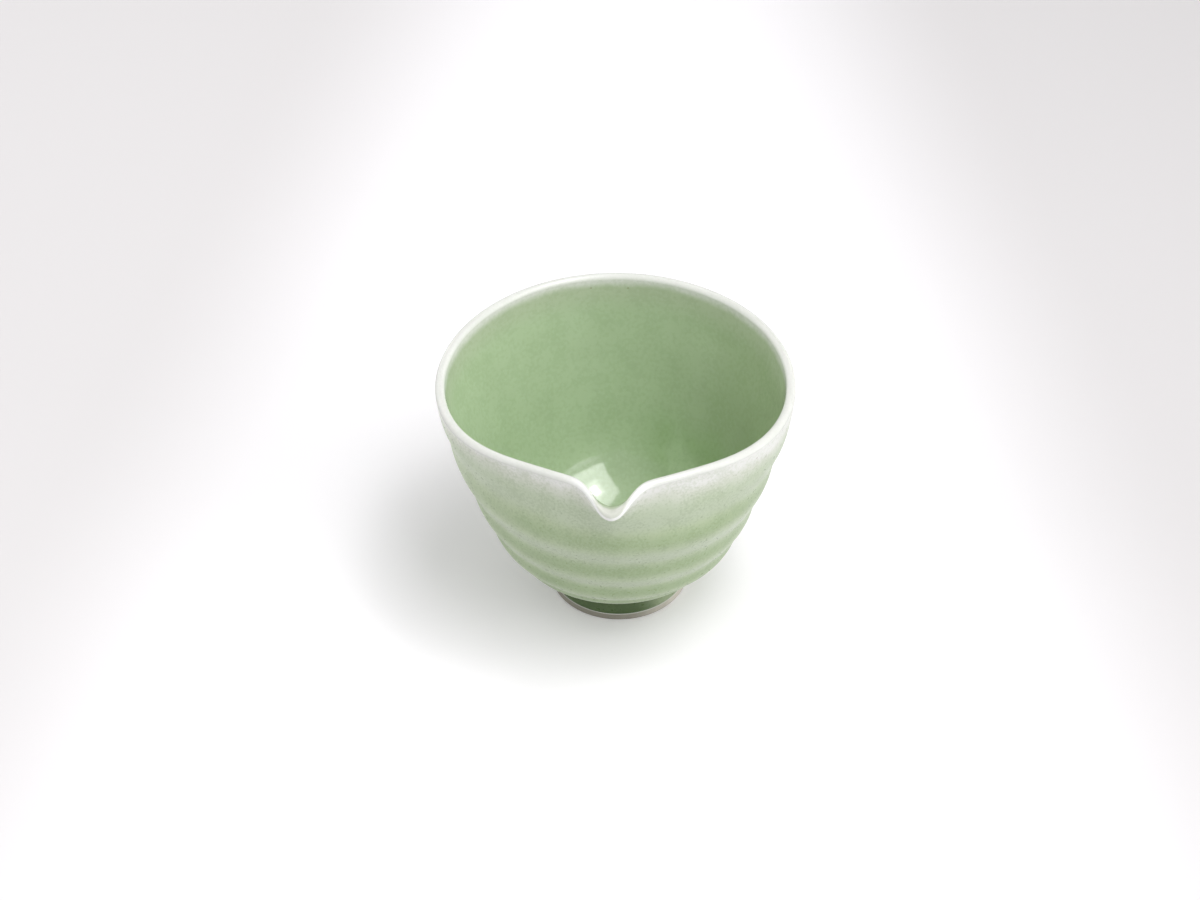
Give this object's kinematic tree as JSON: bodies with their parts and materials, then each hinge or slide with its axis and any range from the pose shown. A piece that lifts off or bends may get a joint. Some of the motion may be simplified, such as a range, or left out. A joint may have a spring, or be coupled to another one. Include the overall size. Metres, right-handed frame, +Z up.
{
  "type": "tea pitcher",
  "caption": "Footed porcelain pouring bowl for tea with a pulled lip, a spiral of throwing marks outside, celadon glaze coats and a bare turned foot ring.",
  "frame": {"origin": "under the middle of the outline, on the surface that the foot ring stands on", "axes": "+Z up, -Y the way the lip pours, +X to the right of someone who faces the lip's tip"},
  "size_m": [0.1094, 0.1122, 0.081],
  "materials": {
    "porcelain": "white porcelain, glossy at the rim and bare and matt on the foot ring",
    "outer_celadon": "satin pale green celadon, whiter on the ridges and towards the rim, greener in the grooves",
    "liner_celadon": "glossy mid green celadon, fading to white just under the rim",
    "well_celadon": "glossy green celadon"
  },
  "bodies": {
    "root": {"porcelain_body": "porcelain", "outer_glaze": "outer_celadon", "liner_glaze": "liner_celadon", "foot_well_glaze": "well_celadon"}
  },
  "joints": []
}
